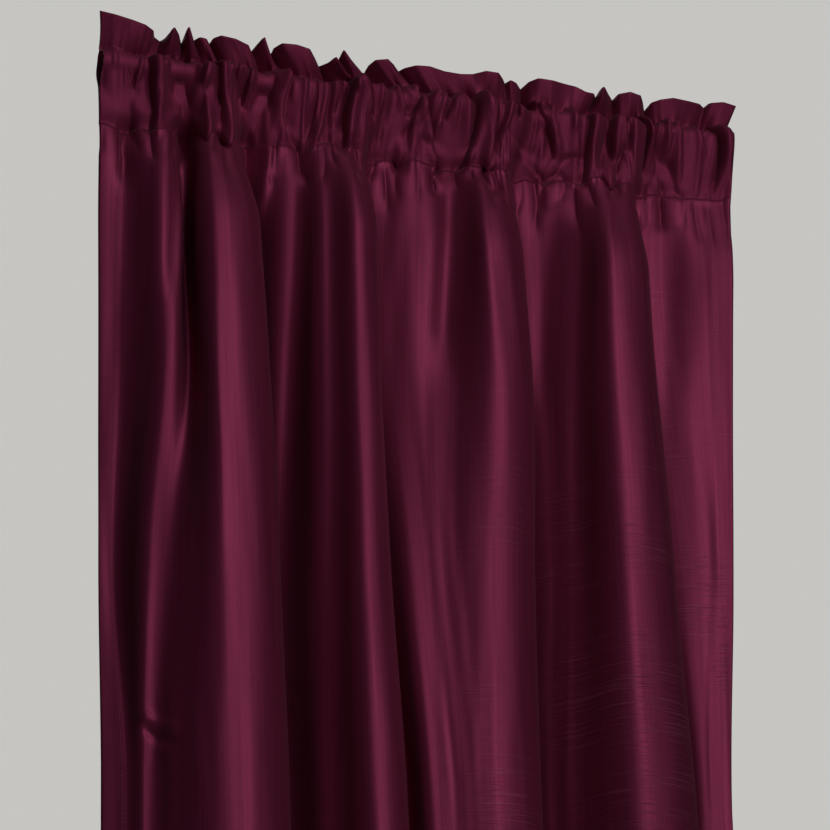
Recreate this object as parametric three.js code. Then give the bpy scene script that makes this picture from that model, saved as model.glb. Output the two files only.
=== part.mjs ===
// Rod pocket curtain of slubby silk: a gathered heading with a ruffled frill over a rod pocket, and
// the unlined panel that hangs from it in deep uneven folds.
// Millimetres. X runs along the rod, to the right as seen from the room, Y points away from the
// room and Z up. The origin is on the rod's axis at the middle of the gathered width.
import * as THREE from "three";

// Sizes of the finished curtain, laid flat
const CLOTH_WIDTH = 1118;
const CLOTH_LENGTH = 2134;
const FRILL_HEIGHT = 32;
const POCKET_FLAT = 89;
const HEM_DEPTH = 76;
const SIDE_HEM = 20;

// Heights of the sewn lines and edges over the rod's axis, with the cloth round the rod
const UPPER_STITCH_Z = 15;
const LOWER_STITCH_Z = -64;
const HEM_Z = LOWER_STITCH_Z - (CLOTH_LENGTH - FRILL_HEIGHT - POCKET_FLAT);

// Thicknesses of the solids
const SHEET = 1.5;
const HEMMED_SHEET = 2.2;
const SEAM_THICKNESS = 3;
const FRILL_THICKNESS = 2.4;
const PIECE_GAP = 0.3;

// The rod that the pocket is sewn for
const ROD_RADIUS = 11;
const ROD_CLEARANCE = 1;

// How far the pocket's cloth puffs out from the rod between the gathers, how much the channel
// narrows below the rod, and how softly a tuck meets the rod
const POCKET_PUFF = 5;
const CHANNEL_TAPER = 0.7;
const GUARD_SOFTNESS = 1.5;

// How straight the pocket falls from the rod to its foot, and where it starts to lean to the seam
const POCKET_FALL = 1.3;
const POCKET_EASE = 0.2;
const LEAN_START_Z = -26;
const LEAN_EASE = 0.3;

// Share of the cloth's width that the small gathers hold, just under the pocket and further down
const GATHERED_SHARE = 0.32;
const SETTLED_SHARE = 0.06;
const GATHERS_END_Z = -170;

// Heights at which the fold tables give each fold's place
const STATIONS = [LOWER_STITCH_Z, -150, -300, -500, -750, HEM_Z];

// Main folds from left to right, a row for each line along which the cloth turns. faces is the way
// the cloth faces there in degrees, high up and low down, where right is positive, and bends how
// tightly it turns before and after the line. x is the line's place along the rod and y its depth,
// at each station.
const FOLDS = [
  {
    name: "left edge", faces: [-12, -16], bends: [0.5, 0.5],
    x: [-331, -330, -328, -327, -328, -332], y: [10, 12, 18, 20, 16, 14],
  },
  {
    name: "left face", faces: [-14, -26], bends: [0.5, 0.6],
    x: [-307, -316, -320, -320, -318, -320], y: [10, 12, 18, 20, 16, 14],
  },
  {
    name: "step A", faces: [-20, -22], bends: [0.8, 0.8],
    x: [-269, -273, -273, -287, -293, -280], y: [-12, -18, -20, -20, -22, -34],
  },
  {
    name: "hollow A", faces: [-50, -50], bends: [1.3, 1.3],
    x: [-239, -240, -243, -260, -271, -246], y: [14, 14, -8, -32, -34, -4],
  },
  {
    name: "crest B", faces: [-6, -6], bends: [0.8, 0.25],
    x: [-225, -229, -230, -228, -224, -206], y: [-24, -42, -54, -60, -58, -60],
  },
  {
    name: "valley B", faces: [-38, -38], bends: [2.6, 1.2],
    x: [-176, -174, -170, -169, -159, -166], y: [20, 26, 30, 30, 28, 24],
  },
  {
    name: "ridge B2", faces: [-14, -45], bends: [0.9, 0.8],
    x: [-135, -141, -148, -153, -143, -142], y: [-4, -6, 4, 18, 20, 16],
  },
  {
    name: "step M", faces: [-24, -34], bends: [0.8, 0.8],
    x: [-111, -115, -118, -119, -121, -98], y: [-20, -32, -36, -30, -20, -16],
  },
  {
    name: "crest C", faces: [-4, -4], bends: [0.8, 0.5],
    x: [-83, -91, -93, -92, -86, -52], y: [-32, -52, -60, -60, -60, -60],
  },
  {
    name: "valley C", faces: [-28, -34], bends: [1.9, 1.2],
    x: [-52, -60, -66, -53, -33, -22], y: [8, 10, 10, 10, 6, 14],
  },
  {
    name: "face C", faces: [-20, -12], bends: [0.5, 0.5],
    x: [-26, -33, -38, -32, -22, 8], y: [0, -2, -4, -19, -34, -16],
  },
  {
    name: "hollow D", faces: [-28, -18], bends: [0.9, 1.0],
    x: [38, 31, 19, 7, 8, 40], y: [-4, -10, -16, -36, -44, -24],
  },
  {
    name: "crest D", faces: [-3, -3], bends: [0.8, 0.25],
    x: [64, 48, 51, 43, 35, 66], y: [-24, -42, -48, -47, -50, -56],
  },
  {
    name: "valley D", faces: [-34, -40], bends: [2.6, 1.4],
    x: [101, 102, 102, 101, 93, 92], y: [12, 14, 16, 20, 20, 22],
  },
  {
    name: "face D", faces: [-34, -40], bends: [0.6, 0.6],
    x: [123, 124, 120, 116, 107, 112], y: [2, 2, 3, 6, 6, 12],
  },
  {
    name: "corner E", faces: [-38, -42], bends: [0.8, 1.0],
    x: [156, 154, 142, 133, 122, 142], y: [-6, -8, -9, -8, -9, 0],
  },
  {
    name: "crest E", faces: [-4, -4], bends: [0.8, 0.15],
    x: [194, 177, 173, 169, 169, 192], y: [-28, -46, -56, -62, -64, -60],
  },
  {
    name: "valley E", faces: [-32, -40], bends: [2.6, 1.2],
    x: [234, 229, 225, 229, 244, 238], y: [6, 8, 10, 12, 14, 20],
  },
  {
    name: "face F", faces: [-20, -10], bends: [0.5, 0.4],
    x: [255, 250, 254, 262, 260, 262], y: [-2, -3, -3, -3, -3, 2],
  },
  {
    name: "right edge", faces: [-18, -8], bends: [0.5, 0.5],
    x: [325, 317, 309, 299, 285, 302], y: [-16, -22, -18, -13, -9, -8],
  },
];

// Heights between which the facing changes from the high to the low one
const FACING_CHANGE = [-300, -620];

// Minor folds, which run out between two heights. Each follows a straight line from (x1, top) to
// (x2, bottom). width is half its breadth and rise how far it stands forward, or back if negative.
const MINOR_FOLDS = [
  { name: "groove in the left face", x1: -302, top: -40, x2: -305, bottom: -135, width: 7, rise: -7 },
  { name: "groove beside A", x1: -255, top: -30, x2: -267, bottom: -290, width: 6, rise: -7 },
  { name: "band behind B", x1: -156, top: -40, x2: -176, bottom: -170, width: 7, rise: 8 },
  { name: "wedge beside C", x1: 21, top: -40, x2: -4, bottom: -300, width: 8, rise: -9 },
  { name: "wedge beside D", x1: 137, top: -40, x2: 115, bottom: -360, width: 9, rise: -8 },
  { name: "dent in F", x1: 271, top: -40, x2: 265, bottom: -320, width: 12, rise: -4 },
];

// Gathers in the pocket, from left to right. Each is a tuck along a straight line from
// (x1, top) to (x2, bottom), where rise stands forward, or back if negative.
const GATHERS = [
  { x1: -322, top: 22, x2: -306, bottom: -84, width: 7, rise: -6 },
  { x1: -294, top: 18, x2: -288, bottom: -60, width: 6, rise: -5 },
  { x1: -276, top: 20, x2: -262, bottom: -70, width: 5, rise: -6 },
  { x1: -250, top: 22, x2: -245, bottom: -90, width: 5, rise: 5 },
  { x1: -238, top: 22, x2: -236, bottom: -100, width: 6, rise: -8 },
  { x1: -222, top: 20, x2: -213, bottom: -50, width: 5, rise: -6 },
  { x1: -200, top: 18, x2: -212, bottom: -78, width: 5, rise: -5 },
  { x1: -184, top: 20, x2: -178, bottom: -80, width: 6, rise: -6 },
  { x1: -162, top: 22, x2: -172, bottom: -60, width: 5, rise: -6 },
  { x1: -128, top: 18, x2: -134, bottom: -70, width: 5, rise: 6 },
  { x1: -116, top: 18, x2: -112, bottom: -60, width: 4.5, rise: -6 },
  { x1: -97, top: 20, x2: -94, bottom: -84, width: 5, rise: -7 },
  { x1: -66, top: 18, x2: -56, bottom: -60, width: 5, rise: -4 },
  { x1: -14, top: 18, x2: -24, bottom: -84, width: 5, rise: -7 },
  { x1: 10, top: 18, x2: 28, bottom: -84, width: 5, rise: -6 },
  { x1: 46, top: 18, x2: 42, bottom: -70, width: 5, rise: -6 },
  { x1: 66, top: 16, x2: 60, bottom: -84, width: 5, rise: -8 },
  { x1: 88, top: 20, x2: 92, bottom: -50, width: 5, rise: -5 },
  { x1: 112, top: 16, x2: 134, bottom: -64, width: 6, rise: -6 },
  { x1: 158, top: 16, x2: 160, bottom: -64, width: 5, rise: -6 },
  { x1: 180, top: 20, x2: 182, bottom: -70, width: 5, rise: -7 },
  { x1: 196, top: 18, x2: 193, bottom: -60, width: 4.5, rise: -6 },
  { x1: 214, top: 18, x2: 222, bottom: -60, width: 4.5, rise: -6 },
  { x1: 232, top: 22, x2: 240, bottom: -84, width: 6, rise: -6 },
  { x1: 256, top: 10, x2: 268, bottom: -70, width: 6, rise: -4 },
  { x1: 316, top: 20, x2: 306, bottom: -70, width: 6, rise: -7 },
];

// Share of each length, at both ends, over which a tuck or minor fold comes up and dies away
const TUCK_FADE = 0.3;
const BACK_GATHERS = 0.7;

// Top edge of the frill from left to right: x along the rod, y its lean and z its height
const FRILL_EDGE = [
  { x: -335, y: -4, z: 47 },
  { x: -313, y: -6, z: 45 },
  { x: -284, y: -3, z: 41 },
  { x: -274, y: 9, z: 37 },
  { x: -261, y: -7, z: 40 },
  { x: -254, y: 5, z: 37 },
  { x: -246, y: -7, z: 42 },
  { x: -236, y: 7, z: 39 },
  { x: -216, y: -3, z: 40 },
  { x: -182, y: 5, z: 39 },
  { x: -169, y: -8, z: 42 },
  { x: -162, y: 11, z: 36 },
  { x: -150, y: -5, z: 40 },
  { x: -122, y: -4, z: 39 },
  { x: -114, y: 10, z: 36 },
  { x: -86, y: -7, z: 39 },
  { x: -66, y: 11, z: 36 },
  { x: -54, y: -5, z: 39 },
  { x: -30, y: -2, z: 38 },
  { x: 2, y: -4, z: 38 },
  { x: 34, y: 0, z: 38 },
  { x: 65, y: -6, z: 41 },
  { x: 84, y: 8, z: 38 },
  { x: 94, y: -2, z: 38 },
  { x: 103, y: 9, z: 37 },
  { x: 120, y: -6, z: 41 },
  { x: 152, y: -3, z: 40 },
  { x: 178, y: 7, z: 37 },
  { x: 189, y: -6, z: 40 },
  { x: 200, y: 7, z: 36 },
  { x: 209, y: -5, z: 39 },
  { x: 226, y: -3, z: 39 },
  { x: 236, y: 10, z: 34 },
  { x: 254, y: -4, z: 39 },
  { x: 290, y: 0, z: 41 },
  { x: 331, y: -5, z: 43 },
];

// Rows of the panel's mesh between the lower stitch line and the hem, and the step at the hem's top
const PANEL_ROWS = [-72, -84, -98, -114, -132, -152, -190, -240, -300, -400, -540, -750, -1050, -1500];
const HEM_STEP = 3;

// Numbers of columns that a stretch of the panel between two fold lines may have, and the widest
// column that is wanted. Each number divides the steps of a stretch's curve.
const COLUMN_NUMBERS = [3, 4, 6, 8, 12];
const WIDEST_COLUMN = 10.5;

// Columns along the heading, and the heights of its rows on the front and on the back
const HEADING_COLUMNS = 140;
const FRILL_ROWS = [1, 0.5];
const POCKET_ROWS = [15, 11.5, 5, -8, -28, -46];
const BACK_POCKET_ROWS = [-36, -8, 8, 15];
const CHANNEL_FRONT_ROWS = [6, -8, -28, -46];
const CHANNEL_BACK_ROWS = [-36, -8, 6];

// Top and foot of the channel inside the pocket
const CHANNEL_TOP_Z = UPPER_STITCH_Z - 2.2;
const CHANNEL_FOOT_Z = LOWER_STITCH_Z + 5;

// Heights over which the pocket's gathers come up below the upper stitch line and die away again
const GATHERS_TOP = [UPPER_STITCH_Z + 2, 4];
const GATHERS_FOOT = [LOWER_STITCH_Z, LOWER_STITCH_Z + 14];

// Steps of a stretch's curve, the farthest that it swings, and how often a search is halved
const WAVE_STEPS = 24;
const STEEPEST = 2.8;
const HALVINGS = 18;
const DEPTH_FACTORS = { least: 0.5, most: 1.7 };

// A stretch that comes forward swings broadly, so that the folds stand on steep left flanks
const BROAD_SWING = 0.75;
const EVEN_SWING = 1;
const SWING_STATION = 2;

function clamp01(value) {
  return Math.min(1, Math.max(0, value));
}

function smoothStep(from, to, value) {
  const t = clamp01((value - from) / (to - from));
  return t * t * (3 - 2 * t);
}

// Starts softly and then rises straight to 1
function eased(t, ease) {
  return (t ** 2 * (1 + ease)) / (t + ease);
}

// Value of a smooth curve through the table's points at place s. The slopes at the points are
// limited, so that the curve never swings past them.
function throughPoints(places, values, s) {
  const last = places.length - 1;
  const rising = places[last] > places[0] ? 1 : -1;
  let i = 0;
  while (i < last - 1 && (s - places[i + 1]) * rising > 0) i += 1;
  const step = places[i + 1] - places[i];
  const slope = (k) => (values[k + 1] - values[k]) / (places[k + 1] - places[k]);
  const tangent = (k) => {
    if (k === 0) return slope(0);
    if (k === last) return slope(last - 1);
    const before = slope(k - 1);
    const after = slope(k);
    return before * after <= 0 ? 0 : (2 * before * after) / (before + after);
  };
  const t = clamp01((s - places[i]) / step);
  const t2 = t * t;
  const t3 = t2 * t;
  return (
    (2 * t3 - 3 * t2 + 1) * values[i] +
    (t3 - 2 * t2 + t) * step * tangent(i) +
    (3 * t2 - 2 * t3) * values[i + 1] +
    (t3 - t2) * step * tangent(i + 1)
  );
}

// How far a tuck or minor fold stands forward at (x, z)
function tuckRise(tuck, x, z) {
  const along = (tuck.top - z) / (tuck.top - tuck.bottom);
  if (along <= 0 || along >= 1) return 0;
  const centre = tuck.x1 + (tuck.x2 - tuck.x1) * along;
  const across = (x - centre) / tuck.width;
  const fade = smoothStep(0, TUCK_FADE, along) * smoothStep(1, 1 - TUCK_FADE, along);
  return tuck.rise * fade * Math.exp(-across * across);
}

function risesOf(tucks, x, z) {
  return tucks.reduce((sum, tuck) => sum + tuckRise(tuck, x, z), 0);
}

// Between two fold lines the cloth turns from one facing to the next and swings out and back on the
// way. share is how much of the turn is used up at each step, and swing how far it is out there.
const STRETCHES = FOLDS.slice(1).map((fold, i) => {
  const after = FOLDS[i].bends[1];
  const before = fold.bends[0];
  const comesForward = fold.y[SWING_STATION] < FOLDS[i].y[SWING_STATION];
  const power = comesForward ? BROAD_SWING : EVEN_SWING;
  return Array.from({ length: WAVE_STEPS }, (_, k) => {
    const t = (k + 0.5) / WAVE_STEPS;
    const share = (after + before - 2) * t ** 3 + (3 - 2 * after - before) * t ** 2 + after * t;
    return { share, swing: Math.sin(Math.PI * clamp01(share)) ** power };
  });
});

function directionsOf(stretch, start, end, angle) {
  const turn = end.facing - start.facing;
  return stretch.map(({ share, swing }) => start.facing + turn * share + angle * swing);
}

function meanOf(values, measure) {
  return values.reduce((sum, value) => sum + measure(value), 0) / values.length;
}

// The swing that takes a stretch from one line to the next gives its directions and its length
function settledStretch(stretch, start, end) {
  const width = end.x - start.x;
  const depth = end.y - start.y;
  let low = -STEEPEST;
  let high = STEEPEST;
  for (let i = 0; i < HALVINGS; i += 1) {
    const middle = (low + high) / 2;
    const directions = directionsOf(stretch, start, end, middle);
    const across = meanOf(directions, Math.cos);
    const deep = meanOf(directions, Math.sin);
    const tooShallow = across > 0 ? deep * width < depth * across : middle < 0;
    if (tooShallow) low = middle;
    else high = middle;
  }
  const directions = directionsOf(stretch, start, end, low);
  return { directions, length: width / meanOf(directions, Math.cos) };
}

function foldLines(z, depthFactor) {
  const low = smoothStep(FACING_CHANGE[0], FACING_CHANGE[1], z);
  return FOLDS.map(({ x, y, faces }) => ({
    x: throughPoints(STATIONS, x, z),
    y: throughPoints(STATIONS, y, z) * depthFactor,
    facing: THREE.MathUtils.degToRad(faces[0] + (faces[1] - faces[0]) * low),
  }));
}

function stretchLengths(lines) {
  return STRETCHES.map((stretch, i) => settledStretch(stretch, lines[i], lines[i + 1]).length);
}

// The cloth can't stretch, so what the small gathers leave of its width is in the main folds at
// every height. That settles how deep they are.
function foldDepthFactor(z) {
  const gathered = smoothStep(GATHERS_END_Z, LOWER_STITCH_Z, z);
  const share = SETTLED_SHARE + (GATHERED_SHARE - SETTLED_SHARE) * gathered;
  const wanted = CLOTH_WIDTH * (1 - share);
  let low = DEPTH_FACTORS.least;
  let high = DEPTH_FACTORS.most;
  for (let i = 0; i < HALVINGS; i += 1) {
    const middle = (low + high) / 2;
    const length = stretchLengths(foldLines(z, middle)).reduce((sum, each) => sum + each, 0);
    if (length < wanted) low = middle;
    else high = middle;
  }
  return low;
}

// Columns of the panel over each stretch, by its length where the folds are fully formed
const STRETCH_COLUMNS = stretchLengths(foldLines(STATIONS[SWING_STATION], 1)).map((length) => {
  return COLUMN_NUMBERS.find((columns) => length / columns < WIDEST_COLUMN) ?? COLUMN_NUMBERS.at(-1);
});

// The section of the hanging cloth at height z, from the left edge to the right
function section(z) {
  const lines = foldLines(z, foldDepthFactor(z));
  const points = [];
  STRETCHES.forEach((stretch, i) => {
    const { directions, length } = settledStretch(stretch, lines[i], lines[i + 1]);
    const stepsPerColumn = WAVE_STEPS / STRETCH_COLUMNS[i];
    let { x, y } = lines[i];
    directions.forEach((direction, k) => {
      if (k % stepsPerColumn === 0) points.push({ x, y });
      x += (Math.cos(direction) * length) / WAVE_STEPS;
      y += (Math.sin(direction) * length) / WAVE_STEPS;
    });
  });
  points.push(lines[lines.length - 1]);
  return points.map(({ x, y }) => {
    const rise = risesOf(MINOR_FOLDS, x, z) + risesOf(GATHERS, x, z);
    return new THREE.Vector3(x, y - rise, z);
  });
}

// Depth of the lower stitch line at x, where the pocket and the panel meet
const seamSection = section(LOWER_STITCH_Z);

function seamDepth(x) {
  let i = 0;
  while (i < seamSection.length - 2 && seamSection[i + 1].x < x) i += 1;
  const a = seamSection[i];
  const b = seamSection[i + 1];
  return a.y + (b.y - a.y) * clamp01((x - a.x) / (b.x - a.x));
}

// Faces between neighbouring closed rings of points. first is the place of the first ring's first
// point in the list of positions, and stride the step from ring to ring.
function ringFaces(rings, size, first, stride) {
  const faces = [];
  for (let r = 0; r + 1 < rings; r += 1) {
    for (let k = 0; k < size; k += 1) {
      const a = first + r * stride + k;
      const b = first + r * stride + ((k + 1) % size);
      faces.push([a, b, a + stride], [b, b + stride, a + stride]);
    }
  }
  return faces;
}

// A solid from closed rings of points, with a channel through it where inner rings are given. The
// triangles of the near end are given, and the far end has the same ones.
function tubeFromRings(outer, inner, endFaces) {
  const outerSize = outer[0].length;
  const innerSize = inner.length > 0 ? inner[0].length : 0;
  const size = outerSize + innerSize;
  const last = (outer.length - 1) * size;
  const points = outer.flatMap((ring, i) => [...ring, ...(innerSize > 0 ? inner[i] : [])]);
  const turned = ([a, b, c]) => [a, c, b];
  const faces = [
    ...ringFaces(outer.length, outerSize, 0, size),
    ...ringFaces(inner.length, innerSize, outerSize, size).map(turned),
    ...endFaces.map(turned),
    ...endFaces.map((face) => face.map((k) => last + k)),
  ];
  const geometry = new THREE.BufferGeometry();
  const positions = points.flatMap((p) => [p.x, p.y, p.z]);
  geometry.setAttribute("position", new THREE.Float32BufferAttribute(positions, 3));
  geometry.setIndex(faces.flat());
  geometry.computeVertexNormals();
  return geometry;
}

// Triangles of a strip's end: down one side and up the other
function stripEnd(size) {
  const triangles = [];
  for (let k = 0; k < size / 2 - 1; k += 1) {
    const across = size - 1 - k;
    triangles.push([k, k + 1, across], [k + 1, across - 1, across]);
  }
  return triangles;
}

function panelThickness(x, z, left, right) {
  const inSideHem = x < left + SIDE_HEM || x > right - SIDE_HEM;
  return inSideHem || z < HEM_Z + HEM_DEPTH ? HEMMED_SHEET : SHEET;
}

// The panel: the folded section at each row, given its thickness along the surface's normal
function panelGeometry() {
  const top = LOWER_STITCH_Z - PIECE_GAP;
  const hemTop = HEM_Z + HEM_DEPTH;
  const heights = [top, ...PANEL_ROWS, hemTop + HEM_STEP, hemTop - HEM_STEP, HEM_Z];
  const rows = heights.map(section);
  const columns = rows[0].length;
  const rings = [];
  for (let c = 0; c < columns; c += 1) {
    const front = [];
    const back = [];
    rows.forEach((row, r) => {
      const along = row[Math.min(c + 1, columns - 1)].clone().sub(row[Math.max(c - 1, 0)]);
      const below = rows[Math.min(r + 1, rows.length - 1)][c];
      const above = rows[Math.max(r - 1, 0)][c];
      const normal = along.cross(above.clone().sub(below)).normalize();
      // The top and bottom edges stay level
      if (r === 0 || r === rows.length - 1) normal.setZ(0).normalize();
      const half = panelThickness(row[c].x, heights[r], row[0].x, row[columns - 1].x) / 2;
      front.push(row[c].clone().addScaledVector(normal, half));
      back.push(row[c].clone().addScaledVector(normal, -half));
    });
    rings.push([...front, ...back.reverse()]);
  }
  return tubeFromRings(rings, [], stripEnd(rings[0].length));
}

function frillEdge(x, key) {
  const places = FRILL_EDGE.map((point) => point.x);
  const values = FRILL_EDGE.map((point) => point[key]);
  return throughPoints(places, values, x);
}

// Half the pocket's depth at height z where it isn't drawn in: round over the rod, nearly straight
// below it, and closed at both sewn lines
function pocketDepth(z) {
  const seam = SEAM_THICKNESS / 2;
  const full = ROD_RADIUS + ROD_CLEARANCE + SHEET + POCKET_PUFF;
  if (z > 0) return seam + (full - seam) * Math.sqrt(Math.max(0, 1 - (z / UPPER_STITCH_Z) ** 2));
  const down = z / LOWER_STITCH_Z;
  return seam + (full - seam) * (1 - eased(down, POCKET_EASE)) ** POCKET_FALL;
}

// The least half depth that a tuck leaves: it can't reach into the rod, and hangs close below it
function rodDepth(z) {
  const reach = ROD_RADIUS + ROD_CLEARANCE;
  if (z > 0) return SHEET + Math.sqrt(Math.max(0, reach ** 2 - z ** 2));
  return SHEET + reach * (1 - (CHANNEL_TAPER * z) / LOWER_STITCH_Z);
}

// Where the pocket's middle lies: straight over the rod, and on the seam at its foot
function pocketMiddle(x, z) {
  return seamDepth(x) * eased(clamp01((z - LEAN_START_Z) / (LOWER_STITCH_Z - LEAN_START_Z)), LEAN_EASE);
}

// Half the pocket's depth at (x, z) with its gathers, where share makes them shallower
function gatheredDepth(x, z, share) {
  const full = pocketDepth(z);
  const near = smoothStep(...GATHERS_TOP, z) * smoothStep(...GATHERS_FOOT, z);
  const depth = full + risesOf(GATHERS, x, z) * near * share;
  const least = Math.min(full, rodDepth(z));
  const over = depth - least;
  return least + (over + Math.sqrt(over ** 2 + GUARD_SOFTNESS ** 2)) / 2;
}

const pocketFront = (x, z) => pocketMiddle(x, z) - gatheredDepth(x, z, 1);
const pocketBack = (x, z) => pocketMiddle(x, z) + gatheredDepth(x, z, BACK_GATHERS);

function frillPoint(x, share, side) {
  const edgeZ = frillEdge(x, "z");
  const z = UPPER_STITCH_Z + (edgeZ - UPPER_STITCH_Z) * share;
  const half = (SEAM_THICKNESS + (FRILL_THICKNESS - SEAM_THICKNESS) * share) / 2;
  return new THREE.Vector2(frillEdge(x, "y") * share + side * half, z);
}

// The heading's outline in the plane across the rod: down the front and up the back
function headingOutline(x) {
  const frillFront = FRILL_ROWS.map((share) => frillPoint(x, share, -1));
  const front = POCKET_ROWS.map((z) => new THREE.Vector2(pocketFront(x, z), z));
  const foot = [-1, 1].map((side) => {
    return new THREE.Vector2(seamDepth(x) + (side * SEAM_THICKNESS) / 2, LOWER_STITCH_Z);
  });
  const back = BACK_POCKET_ROWS.map((z) => new THREE.Vector2(pocketBack(x, z), z));
  const frillBack = [...FRILL_ROWS].reverse().map((share) => frillPoint(x, share, 1));
  return [...frillFront, ...front, ...foot, ...back, ...frillBack];
}

// The channel inside the pocket keeps the cloth's thickness from the outline
function channelOutline(x) {
  const top = new THREE.Vector2(pocketMiddle(x, CHANNEL_TOP_Z), CHANNEL_TOP_Z);
  const foot = new THREE.Vector2(pocketMiddle(x, CHANNEL_FOOT_Z), CHANNEL_FOOT_Z);
  const front = CHANNEL_FRONT_ROWS.map((z) => new THREE.Vector2(pocketFront(x, z) + SHEET, z));
  const back = CHANNEL_BACK_ROWS.map((z) => new THREE.Vector2(pocketBack(x, z) - SHEET, z));
  return [top, ...front, foot, ...back];
}

// Triangles between two lines of points that both run downwards
function zip(lineA, lineB, heightOf) {
  const triangles = [];
  let a = 0;
  let b = 0;
  while (a + 1 < lineA.length || b + 1 < lineB.length) {
    const canA = a + 1 < lineA.length;
    const canB = b + 1 < lineB.length;
    const stepA = canA && (!canB || heightOf(lineA[a + 1]) >= heightOf(lineB[b + 1]));
    const next = stepA ? lineA[a + 1] : lineB[b + 1];
    triangles.push([lineA[a], next, lineB[b]]);
    if (stepA) a += 1;
    else b += 1;
  }
  return triangles;
}

// Triangles of the heading's open end, between the outline and the channel
function headingEnd(outline, channel) {
  const points = [...outline, ...channel];
  const heightOf = (k) => points[k].y;
  const range = (from, count) => Array.from({ length: count }, (_, k) => from + k);
  const frill = FRILL_ROWS.length;
  const outlineSize = outline.length;
  const frontLine = range(frill, POCKET_ROWS.length + 1);
  const backCount = BACK_POCKET_ROWS.length + 1;
  const backLine = range(outlineSize - frill - backCount, backCount);
  const top = outlineSize;
  const foot = top + CHANNEL_FRONT_ROWS.length + 1;
  const channelFront = range(top, CHANNEL_FRONT_ROWS.length + 2);
  const channelBack = [...range(foot, CHANNEL_BACK_ROWS.length + 1), top].reverse();
  const down = (line) => [...line].reverse();
  const frillEnd = range(0, frill).flatMap((k) => {
    const across = outlineSize - 1 - k;
    return [[k, k + 1, across], [k + 1, across - 1, across]];
  });
  return [
    ...frillEnd,
    [frontLine[0], top, backLine[backLine.length - 1]],
    ...zip(frontLine, channelFront, heightOf),
    ...zip(channelBack, down(backLine), heightOf),
    [frontLine[frontLine.length - 1], backLine[0], foot],
  ];
}

// The heading: frill and pocket as one tube, open at both ends for the rod
function headingGeometry() {
  const left = seamSection[0].x;
  const right = seamSection[seamSection.length - 1].x;
  const places = Array.from({ length: HEADING_COLUMNS + 1 }, (_, i) => {
    return left + ((right - left) * i) / HEADING_COLUMNS;
  });
  const outlines = places.map(headingOutline);
  const channels = places.map(channelOutline);
  const standing = (line, x) => line.map((point) => new THREE.Vector3(x, point.x, point.y));
  const outer = places.map((x, i) => standing(outlines[i], x));
  const inner = places.map((x, i) => standing(channels[i], x));
  return tubeFromRings(outer, inner, headingEnd(outlines[0], channels[0]));
}

const SILK_COLOUR = 0x5a1c38;
const silk = () => new THREE.MeshStandardMaterial({ color: SILK_COLOUR, roughness: 0.5, metalness: 0 });

function piece(name, geometry) {
  const mesh = new THREE.Mesh(geometry, silk());
  mesh.name = name;
  return mesh;
}

const curtain = new THREE.Group();
curtain.add(piece("heading", headingGeometry()));
curtain.add(piece("panel", panelGeometry()));

export default curtain;
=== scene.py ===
"""Rod pocket curtain of slubby burgundy silk, hanging in uneven folds from its gathered heading.

The cloth is built from its own sizes: main folds, minor folds, gathers, tucks and the
ruffled frill, each from a short table in millimetres. X runs along the rod, Y points away from
the room and Z up, with the origin on the rod's axis.
"""
import math

import bpy
import numpy as np
from mathutils import Matrix, Vector


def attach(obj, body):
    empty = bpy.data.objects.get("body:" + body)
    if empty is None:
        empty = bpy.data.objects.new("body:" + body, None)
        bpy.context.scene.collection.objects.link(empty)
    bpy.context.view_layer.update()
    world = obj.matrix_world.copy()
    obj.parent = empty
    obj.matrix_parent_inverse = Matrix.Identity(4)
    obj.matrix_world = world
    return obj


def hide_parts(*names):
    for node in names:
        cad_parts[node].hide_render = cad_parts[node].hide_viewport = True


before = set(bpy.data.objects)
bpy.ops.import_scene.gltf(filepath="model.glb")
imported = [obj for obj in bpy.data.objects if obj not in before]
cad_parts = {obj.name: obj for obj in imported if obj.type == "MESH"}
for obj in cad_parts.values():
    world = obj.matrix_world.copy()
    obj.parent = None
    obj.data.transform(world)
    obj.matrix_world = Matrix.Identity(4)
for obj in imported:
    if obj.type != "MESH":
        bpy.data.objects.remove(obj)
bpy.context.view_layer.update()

# A millimetre in metres, and the least length that anything is divided by
MM = 0.001
TINY = 1e-6

# Sizes of the finished curtain laid flat, in millimetres
CLOTH_WIDTH = 1118.0
CLOTH_LENGTH = 2134.0
FRILL_HEIGHT = 32.0
POCKET_FLAT = 89.0
HEM_DEPTH = 76.0
SIDE_HEM = 20.0

# Heights of the sewn lines and edges over the rod's axis
UPPER_STITCH_Z = 15.0
LOWER_STITCH_Z = -64.0
HEM_Z = LOWER_STITCH_Z - (CLOTH_LENGTH - FRILL_HEIGHT - POCKET_FLAT)
HEM_TOP_Z = HEM_Z + HEM_DEPTH
HEM_STITCH_INSET = 3.0
HEM_STITCH_Z = HEM_TOP_Z - HEM_STITCH_INSET

# How thick the cloth is drawn, single and hemmed, and the gap between the heading's two layers
CLOTH = 0.7
HEMMED_CLOTH = 1.5
LAYER_GAP = 1.0

# The rod that the pocket takes, and how much fuller than the rod the pocket is
ROD_RADIUS = 11.0
ROD_CLEARANCE = 1.0
POCKET_PUFF = 8.5
# How softly the tucks stop short of the rod, and how far over the lower stitch line both layers
# start to share the same tucks instead
GUARD_SOFTNESS = 1.2
SEWN_REACH = 20.0
# How the pocket closes: over its shoulder above the rod's axis, and down to the lower stitch line
SHOULDER_SLOPE = 0.9
POCKET_FALL = 1.3
POCKET_EASE = 0.2
# Where and how softly the pocket starts to lean over to the main folds
LEAN_START_Z = -26.0
LEAN_EASE = 0.3

# Share of the cloth's width in the small gathers, just under the pocket and further down
GATHERED_SHARE = 0.32
SETTLED_SHARE = 0.06
GATHERS_END_Z = -170.0

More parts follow.
